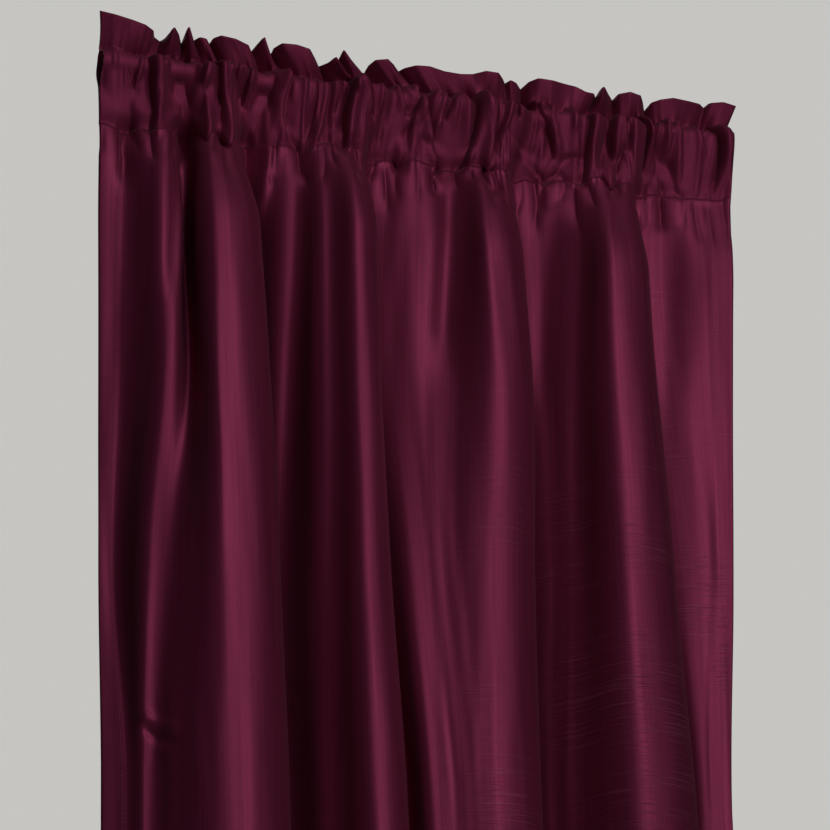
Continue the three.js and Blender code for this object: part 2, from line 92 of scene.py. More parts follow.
# Heights at which the fold tables give each fold's place
STATIONS = (LOWER_STITCH_Z, -150, -300, -500, -750, HEM_Z)

# Main folds from left to right: name, place along the rod and depth at each station, the way the
# cloth faces there in degrees (right is positive), high up and low down, and how tightly it bends
# before and after
FOLDS = (
    ("left edge", (-331, -330, -328, -327, -328, -332), (10, 12, 18, 20, 5, 12), -18, -20, 0.5, 0.5),
    ("left face", (-305, -308, -309, -314, -306, -320), (6, 8, 13, 17, -3, 10), -18, -24, 0.5, 0.5),
    ("step A", (-269, -273, -273, -287, -293, -280), (-12, -18, -20, -20, -13, -34), -20, -5, 0.8, 0.25),
    ("hollow A", (-239, -240, -243, -260, -271, -246), (14, 14, -8, -32, -29, -4), -50, -44, 1.3, 1.3),
    ("crest B", (-225, -229, -230, -228, -224, -206), (-24, -42, -54, -60, -58, -60), -6, -6, 0.8, 0.25),
    ("valley B", (-176, -174, -170, -169, -159, -166), (20, 26, 30, 30, 28, 24), -38, -38, 2.6, 1.2),
    ("ridge B2", (-135, -141, -148, -153, -143, -142), (-4, -6, 4, 18, 20, 16), -6, -45, 0.5, 0.5),
    ("step M", (-111, -115, -118, -119, -121, -98), (-20, -32, -36, -30, -20, -16), -14, -34, 0.5, 0.5),
    ("crest C", (-83, -91, -93, -92, -86, -52), (-32, -52, -60, -60, -60, -60), -4, -4, 0.8, 0.5),
    ("valley C", (-52, -60, -66, -53, -33, -22), (8, 10, 10, 10, 6, 14), -28, -34, 1.9, 1.2),
    ("face C", (-26, -33, -38, -32, -22, 8), (0, -2, -4, -20, -34, -16), -26, -7, 0.5, 0.5),
    ("hollow D", (38, 31, 19, 7, 8, 40), (-8, -20, -25, -32, -42, -24), -28, -20, 0.9, 1.0),
    ("crest D", (64, 48, 51, 43, 35, 66), (-24, -42, -48, -44, -49, -56), -3, -3, 0.8, 0.25),
    ("valley D", (101, 102, 102, 101, 93, 92), (12, 14, 16, 20, 20, 22), -34, -40, 2.6, 1.4),
    ("face D", (123, 124, 120, 116, 107, 112), (5, 4, 4, 5, 5, 12), -34, -33, 0.6, 0.6),
    ("corner E", (156, 154, 142, 133, 122, 142), (-10, -14, -13, -10, -9, 0), -34, -38, 0.8, 1.0),
    ("crest E", (194, 177, 174, 175, 176, 192), (-28, -46, -56, -62, -64, -60), -4, -1, 0.8, 0.15),
    ("valley E", (234, 229, 225, 229, 244, 238), (6, 8, 10, 12, 14, 20), -32, -40, 2.6, 1.2),
    ("face F", (255, 250, 254, 262, 260, 262), (2, 2, -4, -8, -5, 2), -24, -10, 0.5, 0.4),
    ("right edge", (325, 317, 309, 299, 285, 302), (-16, -22, -18, -13, -9, -8), -18, -8, 0.5, 0.5),
)
_, FOLD_X, FOLD_Y, FACING_HIGH, FACING_LOW, BEND_BEFORE, BEND_AFTER = zip(*FOLDS)

# Minor folds, which run out at both ends of a line from (x1, z1) to (x2, z2). width is half the
# breadth and rise how far it stands forward, or back if negative.
MINOR_FOLDS = (
    # name, x1, z1, x2, z2, width, rise
    ("groove in the left face", -302, -40, -305, -135, 7, -7),
    ("groove beside A", -255, -30, -266, -280, 9, -6),
    ("band behind B", -156, -40, -176, -170, 7, 8),
    ("wedge beside C", 31, -40, 6, -320, 13, -9),
    ("wedge beside D", 137, -40, 115, -360, 12, -4),
    ("dent in F", 258, -40, 254, -320, 14, -3),
    ("crease by the left edge, upper arm", -303, -664, -262, -692, 6, 3),
    ("crease by the left edge, lower arm", -299, -676, -262, -704, 4.5, -3),
)

# Tucks of the gathered pocket, along a curve through three points (x, z). width is half the
# breadth, deep how far the groove goes in before TUCK_DEPTH scales it, and lip the ridge beside it:
# 1 right, -1 left, 0 none.
TUCKS = (
    # x, z at the top, x, z in the middle, x, z at the bottom, width, deep, lip
    (-331, 18, -330, -20, -334, -56, 6, 4, -1),
    (-302, 16, -299, -27, -299, -84, 7, 6, 0),
    (-292, 17, -285, -20, -281, -72, 5, 6, 1),
    (-274, 17, -267, -20, -259, -44, 5, 4, 0),
    (-262, 20, -253, -25, -262, -80, 5, 7, 1),
    (-242, 22, -245, -40, -242, -100, 6, 9, 0),
    (-230, 20, -234, -2, -238, -24, 3.5, 5, 1),
    (-220, 20, -218, -14, -213, -44, 4, 7, 1),
    (-225, -10, -230, -28, -235, -50, 4, 3, 0),
    (-215, -32, -212, -57, -211, -84, 4.5, 6, 0),
    (-206, 14, -193, -29, -184, -78, 5, 8, 0),
    (-183, 18, -189, -14, -193, -44, 3.5, 5, 1),
    (-177, 0, -184, -30, -187, -54, 3.5, 4, 0),
    (-168, 20, -168, -4, -175, -44, 4, 5, 0),
    (-158, 20, -162, -8, -164, -34, 4, 4, 1),
    (-129, 20, -145, -36, -132, -70, 4, 5, -1),
    (-121, 20, -118, -20, -126, -60, 4, 5, 1),
    (-113, 20, -110, -15, -114, -48, 4, 5, 0),
    (-104, 20, -102, -23, -106, -72, 4.5, 7, 0),
    (-96, 16, -95, -18, -101, -42, 3, 4, 0),
    (-78, 22, -88, -19, -88, -80, 5, 9, 1),
    (-79, -50, -76, -73, -72, -104, 5, 6, 0),
    (-68, 18, -61, -5, -57, -34, 3.5, 5, -1),
    (-26, 22, -22, -4, -16, -24, 3.5, 5, -1),
    (-7, 20, -12, -3, -16, -24, 3.5, 5, 1),
    (-14, -20, -24, -52, -25, -84, 4, 5, 0),
    (-16, -16, -18, -42, -27, -74, 4, 3, 0),
    (-6, 16, 6, -20, 20, -84, 4.5, 7, -1),
    (28, 16, 21, -6, 15, -24, 4, 5, 1),
    (-8, -36, 6, -48, 20, -68, 3, 3, 0),
    (48, 18, 49, -17, 28, -80, 4, 6, 1),
    (68, 18, 72, -18, 61, -74, 5, 10, -1),
    (68, -54, 72, -74, 72, -100, 4, 5, 0),
    (55, -54, 61, -74, 71, -106, 4, 5, 0),
    (94, 20, 93, 4, 94, -14, 3, 4, 1),
    (105, 18, 122, -4, 134, -48, 4, 7, 1),
    (94, -26, 113, -44, 138, -70, 4, 5, -1),
    (170, 18, 168, -17, 163, -74, 5, 8, 1),
    (164, -32, 148, -46, 138, -64, 3, 4, 0),
    (186, 18, 188, -15, 178, -56, 4, 7, 0),
    (196, 18, 192, -12, 196, -46, 4, 7, 1),
    (204, 16, 212, -10, 211, -34, 3.5, 5, 0),
    (211, -20, 201, -44, 199, -76, 4, 5, 0),
    (226, 16, 232, -14, 229, -54, 3.5, 7, 1),
    (236, 14, 248, -24, 260, -72, 4, 6, -1),
    (242, 2, 246, -31, 236, -70, 4, 5, 0),
    (256, -24, 266, -46, 273, -70, 4, 5, 0),
    (302, 20, 311, -8, 298, -66, 4.5, 8, 1),
)
# How much deeper every tuck is drawn, the share of its length in which it fades out, and how sharp
# the bottom of its groove is
TUCK_DEPTH = 1.8
TUCK_FADE = 0.3
TUCK_EASE = 0.35
# Where a lip stands, in widths from the groove, its height next to the groove's depth, and how far
# it leans over the groove
LIP_PLACE = 1.7
LIP_SHARE = 0.5
LIP_LEAN = 0.3
# How strongly a tuck draws the cloth beside it together, and over how many widths
PINCH = 0.45
PINCH_REACH = 1.3
# The pocket's back has the front's tucks, shallower and moved along the rod
BACK_GATHERS = 0.7
BACK_SHIFT = 37.0

# Seeded tucks across the seam: the first and last x, where each may lie in its own stretch, and how
# far its middle and its lower end may lie to either side of its top
TUCKED_X = (-326, 320)
TUCK_PLACE = (0.15, 0.85)
TUCK_BOW = 4
TUCK_SLANT = 6

# Seeded ridges of the pocket: the first and last x, where each may lie in its own stretch, how
# softly their faces meet, the lowest level that the cloth sinks to between them, and the level that
# counts as flat
RIDGED_X = (-334, 334)
RIDGE_PLACE = (0.1, 0.9)
RIDGE_SOFTNESS = 0.45
RIDGE_FLOOR = -3.2
RIDGE_LEVEL = -0.5
# How far a ridge sinks at its ends, the shares of its length between which it doesn't, and the
# heights between which all the ridges run out
RIDGE_FADE = 5.0
RIDGE_UNSUNK = (0.25, 0.7)
RIDGE_FOOT = (LOWER_STITCH_Z - 26, LOWER_STITCH_Z + 16)

# Lobes of the pocket's front that hang over the lower stitch line: x, half width and hang
LOBES = (
    (-229, 6, 19),
    (-206, 7, 21),
    (190, 7, 16),
    (-24, 6, 8),
    (64, 6, 8),
)
# Heights over the stitch line where a lobe starts to hang, hangs in full, starts to fade and ends,
# the same for how it comes forward, and how far it comes forward next to its hang
LOBE_HANGS = (0, 4.5, 9, 42)
LOBE_BULGES = (0, 9, 12, 44)
LOBE_FORWARD = 0.4

# Top edge of the frill as it folds from left to right: x along the rod, y and height z
FRILL_EDGE = (
    (-335, -4, 50), (-321, -7, 46), (-304, -9, 41), (-290, -7, 39), (-281, -3, 37), (-277, 5, 36),
    (-269, 9, 35), (-267, 1, 33), (-265, -8, 34), (-263, -12, 37), (-256, -5, 35), (-248, 8, 33),
    (-249, -7, 36), (-248, -12, 40), (-243, -5, 38), (-237, 6, 38), (-233, -3, 37), (-227, -3, 36),
    (-220, 6, 37), (-219, -3, 38), (-213, -7, 39), (-200, -9, 36), (-185, -5, 34), (-177, 6, 35),
    (-174, -3, 38), (-170, -10, 42), (-164, 0, 38), (-157, 10, 33), (-156, -1, 38), (-151, -8, 39),
    (-137, -9, 39), (-123, -8, 37), (-115, 0, 35), (-112, 9, 32), (-107, 3, 28), (-101, -4, 28),
    (-97, -11, 30), (-90, -2, 33), (-89, -12, 38), (-79, -3, 37), (-71, -1, 30), (-60, 9, 27),
    (-58, -1, 33), (-54, -8, 35), (-42, -9, 37), (-33, -3, 36), (-25, 8, 36), (-20, -1, 36),
    (-11, -7, 36), (3, -7, 37), (20, -4, 36), (38, -2, 37), (51, -3, 38), (63, -8, 40), (75, -9, 39),
    (83, -2, 38), (89, 5, 38), (92, -2, 38), (99, 1, 38), (108, 9, 37), (112, -2, 39), (119, -8, 40),
    (133, -9, 39), (148, -5, 40), (162, -3, 40), (172, -4, 35), (181, -2, 36), (188, 7, 37),
    (187, -4, 38), (187, -12, 38), (195, -4, 37), (207, 8, 38), (208, -4, 38), (218, -8, 39),
    (230, -6, 38), (236, 1, 36), (242, 9, 31), (244, -3, 34), (252, -7, 36), (265, -8, 39),
    (284, -5, 40), (297, -2, 41), (306, 5, 42), (308, -4, 42), (321, -7, 43), (336, -5, 42),
)
# How far the frill leans into the room, how much wider than in the table its top edge swings, how
# evenly its foot is spread along the rod, and how soon the tucks of the stitch line run out in it
FRILL_LEAN = 5.0
FRILL_SWING = 1.4
FOOT_SPREAD = 0.65
FRILL_SMOOTHS = 2.5
# How much of the frill's waves and of the tucks the upper stitch line has, how far it wobbles up and
# down, and the height where the pocket starts to take its form
STITCH_WAVE = 0.8
STITCH_TUCKS = 0.7
STITCH_WOBBLE = 1.6
STITCH_WAVE_START_Z = 2.0
# How much deeper the tucks get towards the upper stitch line, and how much of the main folds' depth
# the pocket's front keeps over the rod
SHOULDER_DEPTH = 1.3
FOLD_MEMORY = 0.65

# Puckers along the lower stitch line: how many, how unevenly spaced, how deep and how far they reach
PUCKERS = 150
PUCKER_SPACING = (0.7, 1.3)
PUCKER_DEPTH = 0.3
PUCKER_REACH = 9.0
# How far the seam dips and how far that reaches, how far it wobbles up and down, and the heights in
# the drop and in the pocket where the wobble has run out
SEAM_DIP = 0.2
SEAM_DIP_REACH = 3.0
SEAM_WOBBLE = 2.2
DROP_WOBBLE_END_Z = -150.0
POCKET_WOBBLE_END_Z = -10.0

# Faint uneven waves of the hanging cloth: how many, how deep next to their width, the height where
# they are there in full, and the ranges of their width, tilt and length
WAVE_COUNT = 30
WAVE_SIZE = 0.002
WAVES_FULL_Z = -120.0
WAVE_WIDTH = (14, 60)
WAVE_TILT = (-0.05, 0.05)
WAVE_LENGTH = (180, 700)
WAVE_PHASE = (0, 6)

# Mesh steps: columns along the warp, and steps of the cloth's way from one main fold to the next
COLUMNS = 520
WAVE_STEPS = 40
EVEN_SHARES = np.linspace(0, 1, COLUMNS)
# Rows of the hanging cloth: the lower end of each stretch and its number of rows, close together
# under the pocket and at the crease by the left edge, then the rows of the hem
DROP_TOP_Z = LOWER_STITCH_Z - 0.05
DROP_STRETCHES = ((-110, 15), (-260, 20), (-654, 19), (-716, 16), (HEM_TOP_Z + 2, 19))
HEM_ROWS = (HEM_TOP_Z + 2, HEM_TOP_Z - 0.5, HEM_STITCH_Z, HEM_Z + 40, HEM_Z + 3, HEM_Z)
# Rows of the heading: heights over the lower stitch line where the lobes hang, heights over the
# rod's axis further up the front and down the back, and shares of the frill's height
ROWS_ABOVE_SEAM = (0, 0.6, 1.3, 2.1, 3, 4, 5.2, 6.6, 8.2, 10, 12, 14.5, 17, 20)
FRONT_ROWS = np.concatenate((np.linspace(-41, 3, 20), np.linspace(4.5, UPPER_STITCH_Z, 9)))
BACK_ROWS = np.concatenate((np.linspace(UPPER_STITCH_Z, 3, 6)[1:], np.linspace(-1, LOWER_STITCH_Z, 13)))
FRILL_FRONT_ROWS = np.linspace(0, 1, 14)[1:]
FRILL_BACK_ROWS = np.linspace(1, 0, 9)

# How the cloth swings between two main folds: the steepest it may turn, in radians, how often the
# range of turns is halved to find the right one, and how broad the swing is where the cloth comes
# forward and where it goes back
STEEPEST = 2.8
HALVINGS = 16
BROAD_SWING = 0.75
EVEN_SWING = 1.0
# The station whose folds say where the cloth comes forward and how its columns are shared out, and
# the heights between which it changes from how it faces high up to how it faces low down
FACING_STATION = 2
FACING_CHANGE = (-300, -620)
# The least and most that the folds' depth may be scaled by, and how often that range is halved
DEPTH_FACTORS = (0.5, 1.7)
DEPTH_HALVINGS = 20

# All the random draws come from this one seed, in the order of the script
rng = np.random.default_rng(11)


def smooth_step(start, end, value):
    t = np.clip((value - start) / (end - start), 0.0, 1.0)
    return t * t * (3 - 2 * t)


def hill(value, foot, top, top_end, end):
    """Rises from 0 to 1 between foot and top, and falls again between top_end and end."""
    return smooth_step(foot, top, value) * smooth_step(end, top_end, value)


def eased(t, ease):
    """Starts softly and then rises straight to 1."""
    return t**2 * (1 + ease) / (t + ease)


def through_points(places, values, s):
    """A smooth curve through a table's points, with slopes that never swing past them."""
    places = np.asarray(places, float)
    values = np.asarray(values, float)
    if places[0] > places[-1]:
        places, values = places[::-1], values[::-1]
    slopes = np.diff(values) / np.diff(places)
    before, after = slopes[:-1], slopes[1:]
    both = before + after
    inner = np.where(before * after > 0, 2 * before * after / np.where(both == 0, 1, both), 0.0)
    tangents = np.concatenate((slopes[:1], inner, slopes[-1:]))
    i = np.clip(np.searchsorted(places, s, side="right") - 1, 0, len(places) - 2)
    step = places[i + 1] - places[i]
    t = np.clip((s - places[i]) / step, 0.0, 1.0)
    return (
        (2 * t**3 - 3 * t**2 + 1) * values[i]
        + (t**3 - 2 * t**2 + t) * step * tangents[i]
        + (3 * t**2 - 2 * t**3) * values[i + 1]
        + (t**3 - t**2) * step * tangents[i + 1]
    )


def minor_rise(x, z):
    """How far the minor folds stand forward at each (x, z)."""
    total = np.zeros_like(x)
    for _, x1, z1, x2, z2, width, rise in MINOR_FOLDS:
        length = math.hypot(x2 - x1, z2 - z1)
        along = ((x - x1) * (x2 - x1) + (z - z1) * (z2 - z1)) / length**2
        across = ((x - x1) * (z2 - z1) - (z - z1) * (x2 - x1)) / length / width
        fade = hill(along, 0, TUCK_FADE, 1 - TUCK_FADE, 1)
        total += rise * fade * np.exp(-(across**2))
    return total


def spread_out(ends, count, i, share):
    """The x at a share of the i-th of count even stretches between two ends."""
    return ends[0] + (ends[1] - ends[0]) * (i + share) / count


def small_tucks(count, top, bottom, width, deep):
    """Seeded tucks between the table's, spread along the rod. Each range is (least, most)."""
    tucks = []
    for i in range(count):
        x1 = spread_out(TUCKED_X, count, i, rng.uniform(*TUCK_PLACE))
        z1, z3 = rng.uniform(*top), rng.uniform(*bottom)
        x2 = x1 + rng.uniform(-TUCK_BOW, TUCK_BOW)
        x3 = x1 + rng.uniform(-TUCK_SLANT, TUCK_SLANT)
        tucks.append((x1, z1, x2, (z1 + z3) / 2, x3, z3, rng.uniform(*width), rng.uniform(*deep), 0))
    return tuple(tucks)


ALL_TUCKS = TUCKS + small_tucks(46, top=(-56, -46), bottom=(-128, -82), width=(3, 5), deep=(1, 2.4))


def small_ridges(count, top, bottom, height, steep, slant):
    """Seeded ridges of the gathered pocket, spread along the rod. Each range is (least, most)."""
    ridges = []
    for i in range(count):
        x1 = spread_out(RIDGED_X, count, i, rng.uniform(*RIDGE_PLACE))
        x2 = x1 + rng.normal(0, slant)
        bow = rng.normal(0, slant / 3)
        ends = (rng.uniform(*top), rng.uniform(*bottom))
        form = (rng.uniform(*height), rng.uniform(*steep), rng.uniform(*steep))
        ridges.append((x1, x2, bow, *ends, *form))
    return ridges


RIDGES = (
    *small_ridges(46, top=(34, 60), bottom=(-110, -80), height=(-2, 3), steep=(0.35, 1.4), slant=13),
    *small_ridges(48, top=(30, 44), bottom=(-44, -2), height=(-1, 4), steep=(0.6, 2.2), slant=8),
)


def ridge_rise(x, z):
    """The crisp faces between the small ridges: at each place the ridge that stands highest shows."""
    total = np.full_like(x, RIDGE_FLOOR / RIDGE_SOFTNESS)
    for x1, x2, bow, top, bottom, height, left, right in RIDGES:
        along = (top - z) / (top - bottom)
        away = x - x1 - (x2 - x1) * along - bow * np.sin(math.pi * np.clip(along, 0, 1))
        sunk = RIDGE_FADE * (1 - hill(along, 0, *RIDGE_UNSUNK, 1))
        slope = np.where(away < 0, -away * left, away * right)
        total = np.logaddexp(total, (height - sunk - slope) / RIDGE_SOFTNESS)
    return (total * RIDGE_SOFTNESS - RIDGE_LEVEL) * smooth_step(*RIDGE_FOOT, z)


def tuck_push(x, z):
    """How far the tucks push the cloth at each (x, z): sideways, and forward."""
    side = np.zeros_like(x)
    rise = np.zeros_like(x)
    for x1, z1, x2, z2, x3, z3, width, deep, lip in ALL_TUCKS:
        along = (z1 - z) / (z1 - z3)
        middle = (z1 - z2) / (z1 - z3)
        bend = (x2 - x1 - (x3 - x1) * middle) / (middle * (middle - 1))
        centre = x1 + (x3 - x1) * along + bend * along * (along - 1)
        slope = ((x3 - x1) + bend * (2 * along - 1)) / (z1 - z3)
        across = (x - centre) / np.sqrt(1 + slope**2) / width
        fade = TUCK_DEPTH * smooth_step(1, 1 - TUCK_FADE, along)
        if z1 < UPPER_STITCH_Z:
            fade = fade * smooth_step(0, TUCK_FADE, along)
        groove = np.exp(TUCK_EASE - np.sqrt(across**2 + TUCK_EASE**2))
        ridge = abs(lip) * np.exp(-((across - lip * LIP_PLACE) ** 2))
        pinch = across * width * np.exp(-((across / PINCH_REACH) ** 2))
        rise += deep * fade * (LIP_SHARE * ridge - groove)
        side += fade / TUCK_DEPTH * (lip * deep * LIP_LEAN * (groove - ridge) - PINCH * pinch)
    return side, rise + ridge_rise(x, z)


def wave_shapes():
    """For each stretch between two folds, the turn's share used up and the swing at each step.

    A stretch that comes forward swings broadly, so the folds stand on steep left flanks.
    """
    after = np.array(BEND_AFTER)[:-1, None]
    before = np.array(BEND_BEFORE)[1:, None]
    t = (np.arange(WAVE_STEPS) + 0.5)[None] / WAVE_STEPS
    share = (after + before - 2) * t**3 + (3 - 2 * after - before) * t**2 + after * t
    depth = np.array(FOLD_Y)[:, FACING_STATION]
    power = np.where(np.diff(depth) < 0, BROAD_SWING, EVEN_SWING)[:, None]
    return share, np.sin(math.pi * np.clip(share, 0, 1)) ** power


WAVE_SHARE, WAVE_SWING = wave_shapes()


def wave_rest(z):
    """Direction of the cloth along each stretch at height z, before it swings."""
    high = np.radians(FACING_HIGH)
    low = np.radians(FACING_LOW)
    face = (high + (low - high) * smooth_step(*FACING_CHANGE, z))[:, None]
    return face[:-1] * (1 - WAVE_SHARE) + face[1:] * WAVE_SHARE


def wave_directions(width, depth, rest):
    """Direction of the cloth at each step, and its length, for stretches of a width and depth."""
    low = np.full(len(width), -STEEPEST)
    high = -low
    for _ in range(HALVINGS):
        middle = (low + high) / 2
        direction = rest + middle[:, None] * WAVE_SWING
        across = np.cos(direction).mean(1)
        reached = np.sin(direction).mean(1) * width
        shallow = np.where(across > 0, reached < depth * across, middle < 0)
        low = np.where(shallow, middle, low)
        high = np.where(shallow, high, middle)
    direction = rest + low[:, None] * WAVE_SWING
    return direction, width / np.cos(direction).mean(1)


def fold_lines(z):
    """Place and depth of each main fold at height z."""
    x = np.array([through_points(STATIONS, places, z) for places in FOLD_X])
    y = np.array([through_points(STATIONS, depths, z) for depths in FOLD_Y])
    return x, y


def fold_depth_factor(z, x, y):
    """The cloth can't stretch, so its width settles how deep the main folds are at height z."""
    gathered = smooth_step(GATHERS_END_Z, LOWER_STITCH_Z, z)
    wanted = CLOTH_WIDTH * (1 - SETTLED_SHARE - (GATHERED_SHARE - SETTLED_SHARE) * gathered)
    low, high = DEPTH_FACTORS
    for _ in range(DEPTH_HALVINGS):
        middle = (low + high) / 2
        length = wave_directions(np.diff(x), np.diff(y) * middle, wave_rest(z))[1].sum()
        low, high = (middle, high) if length < wanted else (low, middle)
    return low


def section(z):
    """The cloth's section at height z, as points at about even steps of its length."""
    x, y = fold_lines(z)
    y = y * fold_depth_factor(z, x, y)
    direction, length = wave_directions(np.diff(x), np.diff(y), wave_rest(z))
    step = length[:, None] / WAVE_STEPS
    xs = np.concatenate((x[:1], x[0] + np.cumsum(np.cos(direction) * step)))
    ys = np.concatenate((y[:1], y[0] + np.cumsum(np.sin(direction) * step)))
    places = np.arange(len(xs))
    wanted = np.interp(EVEN_SHARES, STEP_SHARES, places)
    return np.interp(wanted, places, xs), np.interp(wanted, places, ys)


def step_shares():
    """Share of the columns used up at each wave step, by the cloth's usual length up to there."""
    z = STATIONS[FACING_STATION]
    x, y = fold_lines(z)
    length = wave_directions(np.diff(x), np.diff(y), wave_rest(z))[1]
    along = np.concatenate(([0.0], np.cumsum(np.repeat(length / WAVE_STEPS, WAVE_STEPS))))
    return along / along[-1]


STEP_SHARES = step_shares()
PUCKER_PHASE = np.cumsum(rng.uniform(*PUCKER_SPACING, COLUMNS)) * 2 * math.pi / COLUMNS


def seam_pull(z):
    """How far the lower stitch line pulls the cloth back at height z, with its small puckers."""
    away = (z - LOWER_STITCH_Z) / SEAM_DIP_REACH
    reach = np.exp(-np.abs(z - LOWER_STITCH_Z) / PUCKER_REACH)
    return SEAM_DIP * np.exp(-(away**2)) + PUCKER_DEPTH * np.sin(PUCKERS * PUCKER_PHASE) * reach


def fold_seam():
    """The folds and minor folds at the lower stitch line, a point for each column."""
    x, y = section(LOWER_STITCH_Z)
    return x, y - minor_rise(x, np.full_like(x, LOWER_STITCH_Z))


def wobble(size, x, widths, count):
    """How far a sewn line strays up and down at each x, from a few seeded waves."""
    waves = [np.sin(x / rng.uniform(*widths) + rng.uniform(*WAVE_PHASE)) / 2 for _ in range(count)]
    return size * sum(waves)


SEAM_X, SEAM_Y = fold_seam()
SEAM_LIFT = wobble(SEAM_WOBBLE, SEAM_X, widths=(5, 15), count=5)
ROD_X = (SEAM_X + SEAM_X[0] + (SEAM_X[-1] - SEAM_X[0]) * EVEN_SHARES) / 2


def small_waves():
    """Seeded width, tilt, phase, length and start of each faint wave."""
    ranges = (WAVE_WIDTH, WAVE_TILT, WAVE_PHASE, WAVE_LENGTH, WAVE_PHASE)
    return [[rng.uniform(*limits) for limits in ranges] for _ in range(WAVE_COUNT)]


WAVES = small_waves()


def waves_along(z):
    """Faint uneven waves of the hanging cloth at height z, for each column."""
    total = np.zeros(COLUMNS)
    for width, tilt, phase, length, start in WAVES:
        across = 2 * math.pi * (EVEN_SHARES * CLOTH_WIDTH + tilt * z) / width + phase
        total += WAVE_SIZE * width * np.sin(across) * np.sin(2 * math.pi * z / length + start)
    return total


def drop_grid(heights):
    """Points of the hanging cloth, a row for each height."""
    rows = []
    for z in heights:
        x, y = section(z)
        zs = np.full_like(x, z)
        side, rise = tuck_push(x, zs)
        waves = waves_along(z) * smooth_step(LOWER_STITCH_Z, WAVES_FULL_Z, z)
        pull = seam_pull(z) + waves
        height = zs + SEAM_LIFT * smooth_step(DROP_WOBBLE_END_Z, LOWER_STITCH_Z, z)
        rows.append(np.stack((x + side, y - minor_rise(x, zs) - rise + pull, height), -1))
    return np.array(rows)


def pocket_depth(z):
    """Half the pocket's depth where it isn't drawn in."""
    full = ROD_RADIUS + ROD_CLEARANCE + CLOTH + POCKET_PUFF
    seam = LAYER_GAP / 2
    if z > 0:
        return seam + (full - seam) * max(0, 1 - (z / UPPER_STITCH_Z) ** 2) ** SHOULDER_SLOPE
    return seam + (full - seam) * (1 - eased(z / LOWER_STITCH_Z, POCKET_EASE)) ** POCKET_FALL


def gathered_depth(z, rise):
    """Half the pocket's depth with its tucks, which never reach the rod or the other layer."""
    full = pocket_depth(z)
    reach = ROD_RADIUS + ROD_CLEARANCE
    least = min(full, CLOTH + math.sqrt(max(0, reach**2 - z**2)))
    over = full + rise - least
    held = least + (over + np.sqrt(over**2 + GUARD_SOFTNESS**2)) / 2
    stitched = smooth_step(LOWER_STITCH_Z + SEWN_REACH, LOWER_STITCH_Z, z)
    return held * (1 - stitched) + (full + rise) * stitched


def frill_edge():
    """The frill's top edge as x, y and z for each column, by how much cloth it takes."""
    edge = np.array(FRILL_EDGE, float)
    taken = np.concatenate(([0.0], np.cumsum(np.hypot(np.diff(edge[:, 0]), np.diff(edge[:, 1])))))
    spread = edge[0, 0] + taken / taken[-1] * (edge[-1, 0] - edge[0, 0])
    foot = edge[:, 0] * (1 - FOOT_SPREAD) + spread * FOOT_SPREAD
    x = foot[0] + (ROD_X - ROD_X[0]) / (ROD_X[-1] - ROD_X[0]) * (foot[-1] - foot[0])
    return [np.interp(x, foot, edge[:, k]) for k in range(3)]


EDGE_X, TABLE_EDGE_Y, EDGE_Z = frill_edge()
EDGE_Y = FRILL_SWING * TABLE_EDGE_Y - FRILL_LEAN
STITCH_SIDE, STITCH_RISE = tuck_push(ROD_X, np.full(COLUMNS, UPPER_STITCH_Z))
STITCH_Y = STITCH_WAVE * TABLE_EDGE_Y - STITCH_TUCKS * STITCH_RISE
STITCH_LIFT = wobble(STITCH_WOBBLE, ROD_X, widths=(4, 16), count=6)


def pocket_row(z, side):
    """A row of the pocket's front (side -1) or back (side 1)."""
    down = smooth_step(0, LOWER_STITCH_Z, z)
    up = smooth_step(STITCH_WAVE_START_Z, UPPER_STITCH_Z, z)
    x = ROD_X * (1 - down) + SEAM_X * down
    lean = eased(np.clip((z - LEAN_START_Z) / (LOWER_STITCH_Z - LEAN_START_Z), 0, 1), LEAN_EASE)
    middle = SEAM_Y * lean + STITCH_Y * up + seam_pull(z)
    push, rise = tuck_push(x, np.full(COLUMNS, z))
    rise = rise * (1 + SHOULDER_DEPTH * up) - FOLD_MEMORY * SEAM_Y * (1 - lean) * (1 - up)
    if side > 0:
        behind = tuck_push(x + BACK_SHIFT, np.full(COLUMNS, z))
        push, rise = (part * BACK_GATHERS for part in behind)
        seam_push, seam_rise = tuck_push(SEAM_X, np.full(COLUMNS, LOWER_STITCH_Z))
        push = push * (1 - down) * (1 - up) + seam_push * down + STITCH_SIDE * up
        rise = rise * (1 - down) - seam_rise * down
    y = middle + LAYER_GAP / 2 * down + side * gathered_depth(z, rise)
    height = z + STITCH_LIFT * up + SEAM_LIFT * smooth_step(POCKET_WOBBLE_END_Z, LOWER_STITCH_Z, z)
    return np.stack((x + push, y, height), -1)


def hang_lobes(row, above):
    """Let a front row near the lower stitch line hang over it in soft lobes."""
    hang = sum(size * np.exp(-(((row[:, 0] - x) / width) ** 2)) for x, width, size in LOBES)
    row[:, 2] -= hang * hill(above, *LOBE_HANGS)
    row[:, 1] -= hang * LOBE_FORWARD * hill(above, *LOBE_BULGES)
    return row


def frill_row(share, side):
    """A row of the frill's front or back at a share of its height."""
    tucked = (1 - share) ** FRILL_SMOOTHS
    x = ROD_X * (1 - share) + STITCH_SIDE * tucked + EDGE_X * share
    foot_y = STITCH_WAVE * TABLE_EDGE_Y * (1 - share) - STITCH_TUCKS * STITCH_RISE * tucked
    y = foot_y + EDGE_Y * share
    z = (UPPER_STITCH_Z + STITCH_LIFT) * (1 - share) + EDGE_Z * share
    across, away = np.gradient(x), np.gradient(y)
    gap = side * LAYER_GAP / 2 / np.hypot(across, away)
    return np.stack((x - away * gap, y + across * gap, z), -1)


